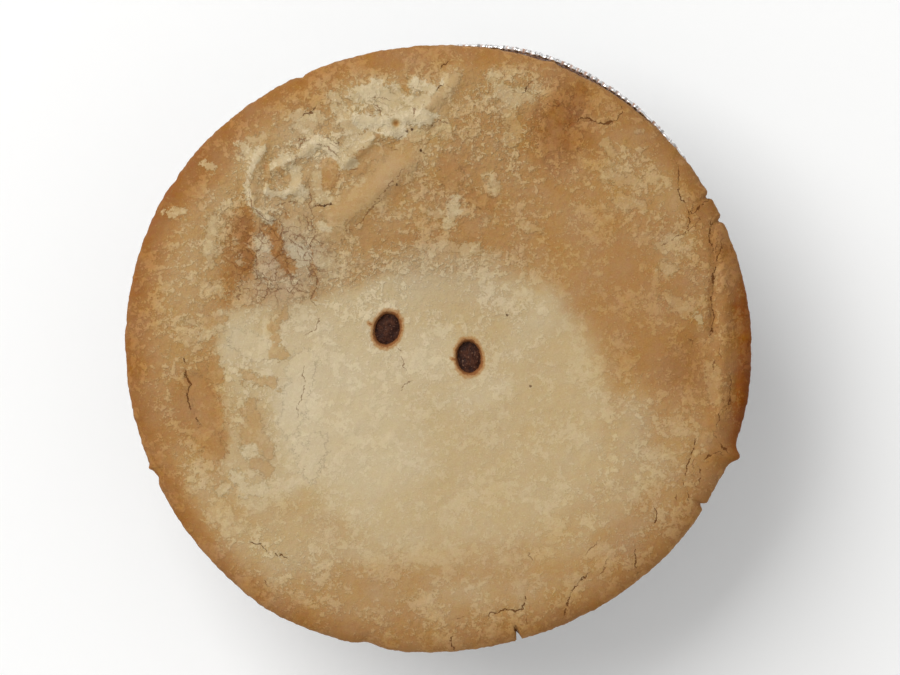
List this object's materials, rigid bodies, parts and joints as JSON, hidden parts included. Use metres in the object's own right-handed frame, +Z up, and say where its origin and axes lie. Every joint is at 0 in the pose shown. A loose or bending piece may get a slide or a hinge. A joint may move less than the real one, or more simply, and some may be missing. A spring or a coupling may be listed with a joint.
{
  "type": "steak and kidney pie",
  "caption": "Round baked pie with a browned, cracked pastry lid and small steam vents full of gravy, standing in its own pleated foil tin.",
  "frame": {"origin": "middle of the pie's outline seen from above, on the plane that the foil tin stands on", "axes": "+Z up through the lid, +X to the right and +Y away from the viewer as the picture shows the lid"},
  "size_m": [0.1158, 0.1125, 0.0377],
  "materials": {
    "foil": "satin",
    "pastry": "matte",
    "gravy": "gloss"
  },
  "bodies": {
    "root": {"foil_tin": "foil", "pastry_pie": "pastry", "gravy_left": "gravy", "gravy_right": "gravy"}
  },
  "joints": []
}
